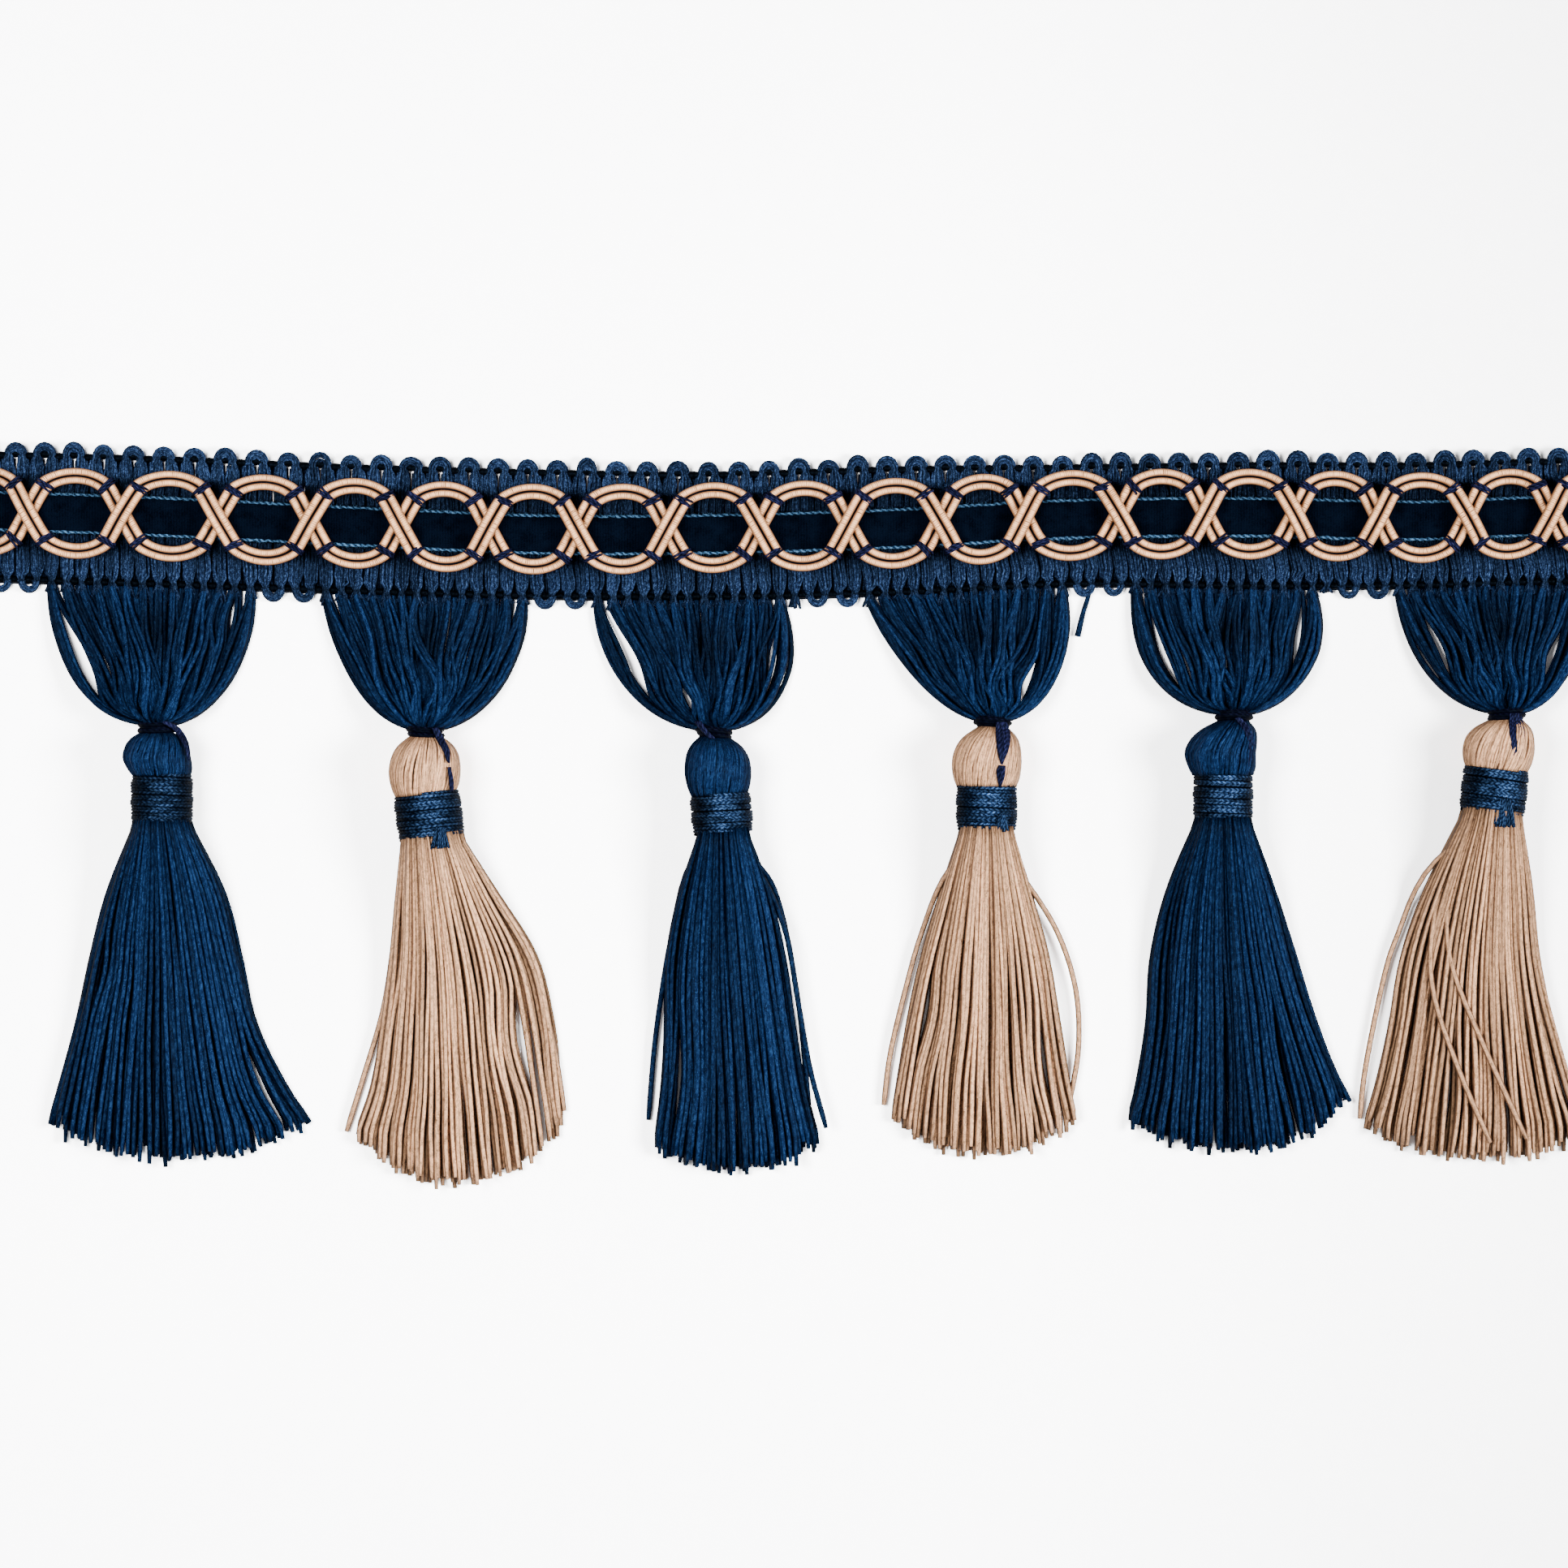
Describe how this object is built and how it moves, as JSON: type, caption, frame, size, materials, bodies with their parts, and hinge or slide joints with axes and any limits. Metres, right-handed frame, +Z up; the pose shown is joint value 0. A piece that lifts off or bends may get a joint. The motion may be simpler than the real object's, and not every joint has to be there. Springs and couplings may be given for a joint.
{
  "type": "tassel fringe trim",
  "caption": "Length of passementerie fringe: woven heading with picot arches, velvet ribbon and gimp rings, with tied ball-head tassels hanging from it.",
  "frame": {"origin": "bottom centre of the whole trim as it lies flat, on the surface under it", "axes": "+X along the heading, +Y from the skirts' tips towards the heading's arches, +Z up from the surface"},
  "size_m": [0.2378, 0.1037, 0.0109],
  "materials": {
    "navy_cotton": "matt mercerised cotton yarn, navy",
    "tan_cotton": "matt mercerised cotton yarn, tan",
    "tan_gimp": "silk-like thread wound closely over a core, tan",
    "navy_velvet": "velvet pile, very dark navy with lighter edges",
    "navy_satin": "glossy satin thread, dark navy",
    "indigo_cord": "soft stranded cord, dark indigo"
  },
  "bodies": {
    "root": {"heading_braid": "navy_cotton", "velvet_ribbon": "navy_velvet", "gimp_under_1": "tan_gimp", "gimp_under_2": "tan_gimp", "gimp_over_1": "tan_gimp", "gimp_over_2": "tan_gimp", "hanger_1": "navy_cotton", "hanger_2": "navy_cotton", "hanger_3": "navy_cotton", "hanger_4": "navy_cotton", "hanger_5": "navy_cotton", "hanger_6": "navy_cotton", "tassel_1": "navy_cotton", "tassel_2": "tan_cotton", "tassel_3": "navy_cotton", "tassel_4": "tan_cotton", "tassel_5": "navy_cotton", "tassel_6": "tan_cotton", "wrap_1": "navy_satin", "wrap_2": "navy_satin", "wrap_3": "navy_satin", "wrap_4": "navy_satin", "wrap_5": "navy_satin", "wrap_6": "navy_satin", "tie_2": "indigo_cord", "tie_4": "indigo_cord", "tie_6": "indigo_cord"}
  },
  "joints": []
}
